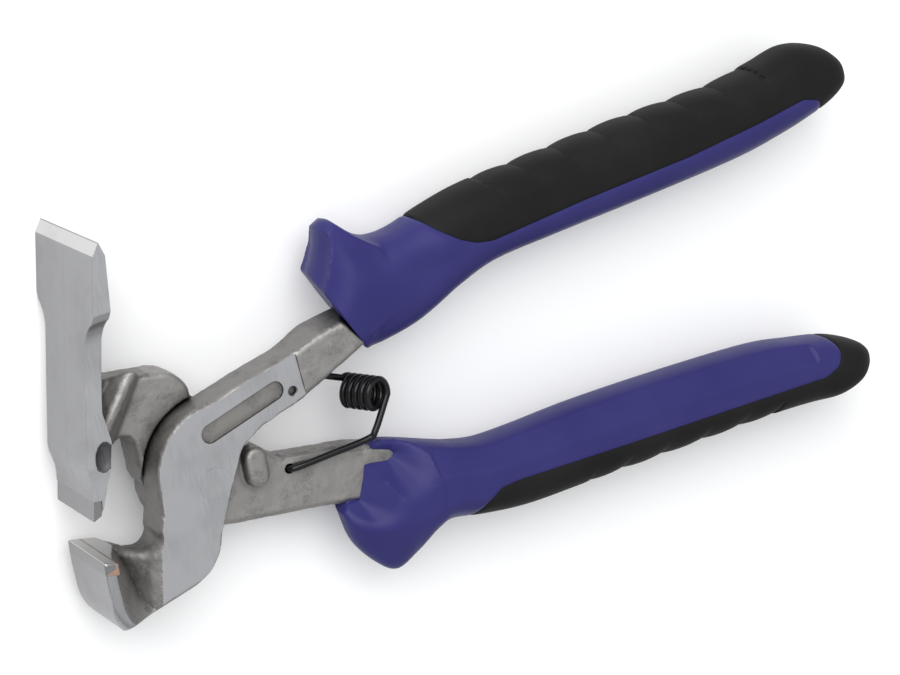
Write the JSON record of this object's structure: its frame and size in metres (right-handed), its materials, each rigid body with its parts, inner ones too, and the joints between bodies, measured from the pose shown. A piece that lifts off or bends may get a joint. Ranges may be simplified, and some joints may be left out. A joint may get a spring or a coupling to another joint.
{
  "type": "tile nippers",
  "caption": "Hand-held tile nippers: two levers on a rivet, a wide cross-plate jaw and a hooked jaw with carbide tips, a return spring and soft grips.",
  "frame": {"origin": "on the rivet's axis in the back ground face of the lap joint", "axes": "+X along the handles away from the jaws, +Z along the rivet's axis towards the front ground face, +Y towards the upper handle"},
  "size_m": [0.2138, 0.1019, 0.03],
  "materials": {
    "forged_steel": "satin, blasted on the forged faces and ground on the flats",
    "carbide": "ground",
    "braze": "satin",
    "black_spring_steel": "gloss black",
    "blue_plastic": "satin",
    "black_rubber": "matte"
  },
  "bodies": {
    "blade_side": {"blade_lever": "forged_steel", "pivot_rivet": "forged_steel", "return_spring": "black_spring_steel", "blade_carbide_tip": "carbide", "blade_tip_braze": "braze", "lower_grip_core": "blue_plastic", "lower_grip_cover": "black_rubber"},
    "hook_side": {"hook_lever": "forged_steel", "hook_carbide_tip": "carbide", "hook_tip_braze": "braze", "upper_grip_core": "blue_plastic", "upper_grip_cover": "black_rubber"}
  },
  "joints": [
    {"name": "pivot", "type": "hinge", "parent": "blade_side", "child": "hook_side", "pos_m": [0, 0, 0.0075], "axis": [0, 0, -1], "range_deg": [0, 17.5], "stiffness_Nm_per_rad": 1.2, "springref_deg": -20.05, "deforming": ["return_spring"]}
  ]
}
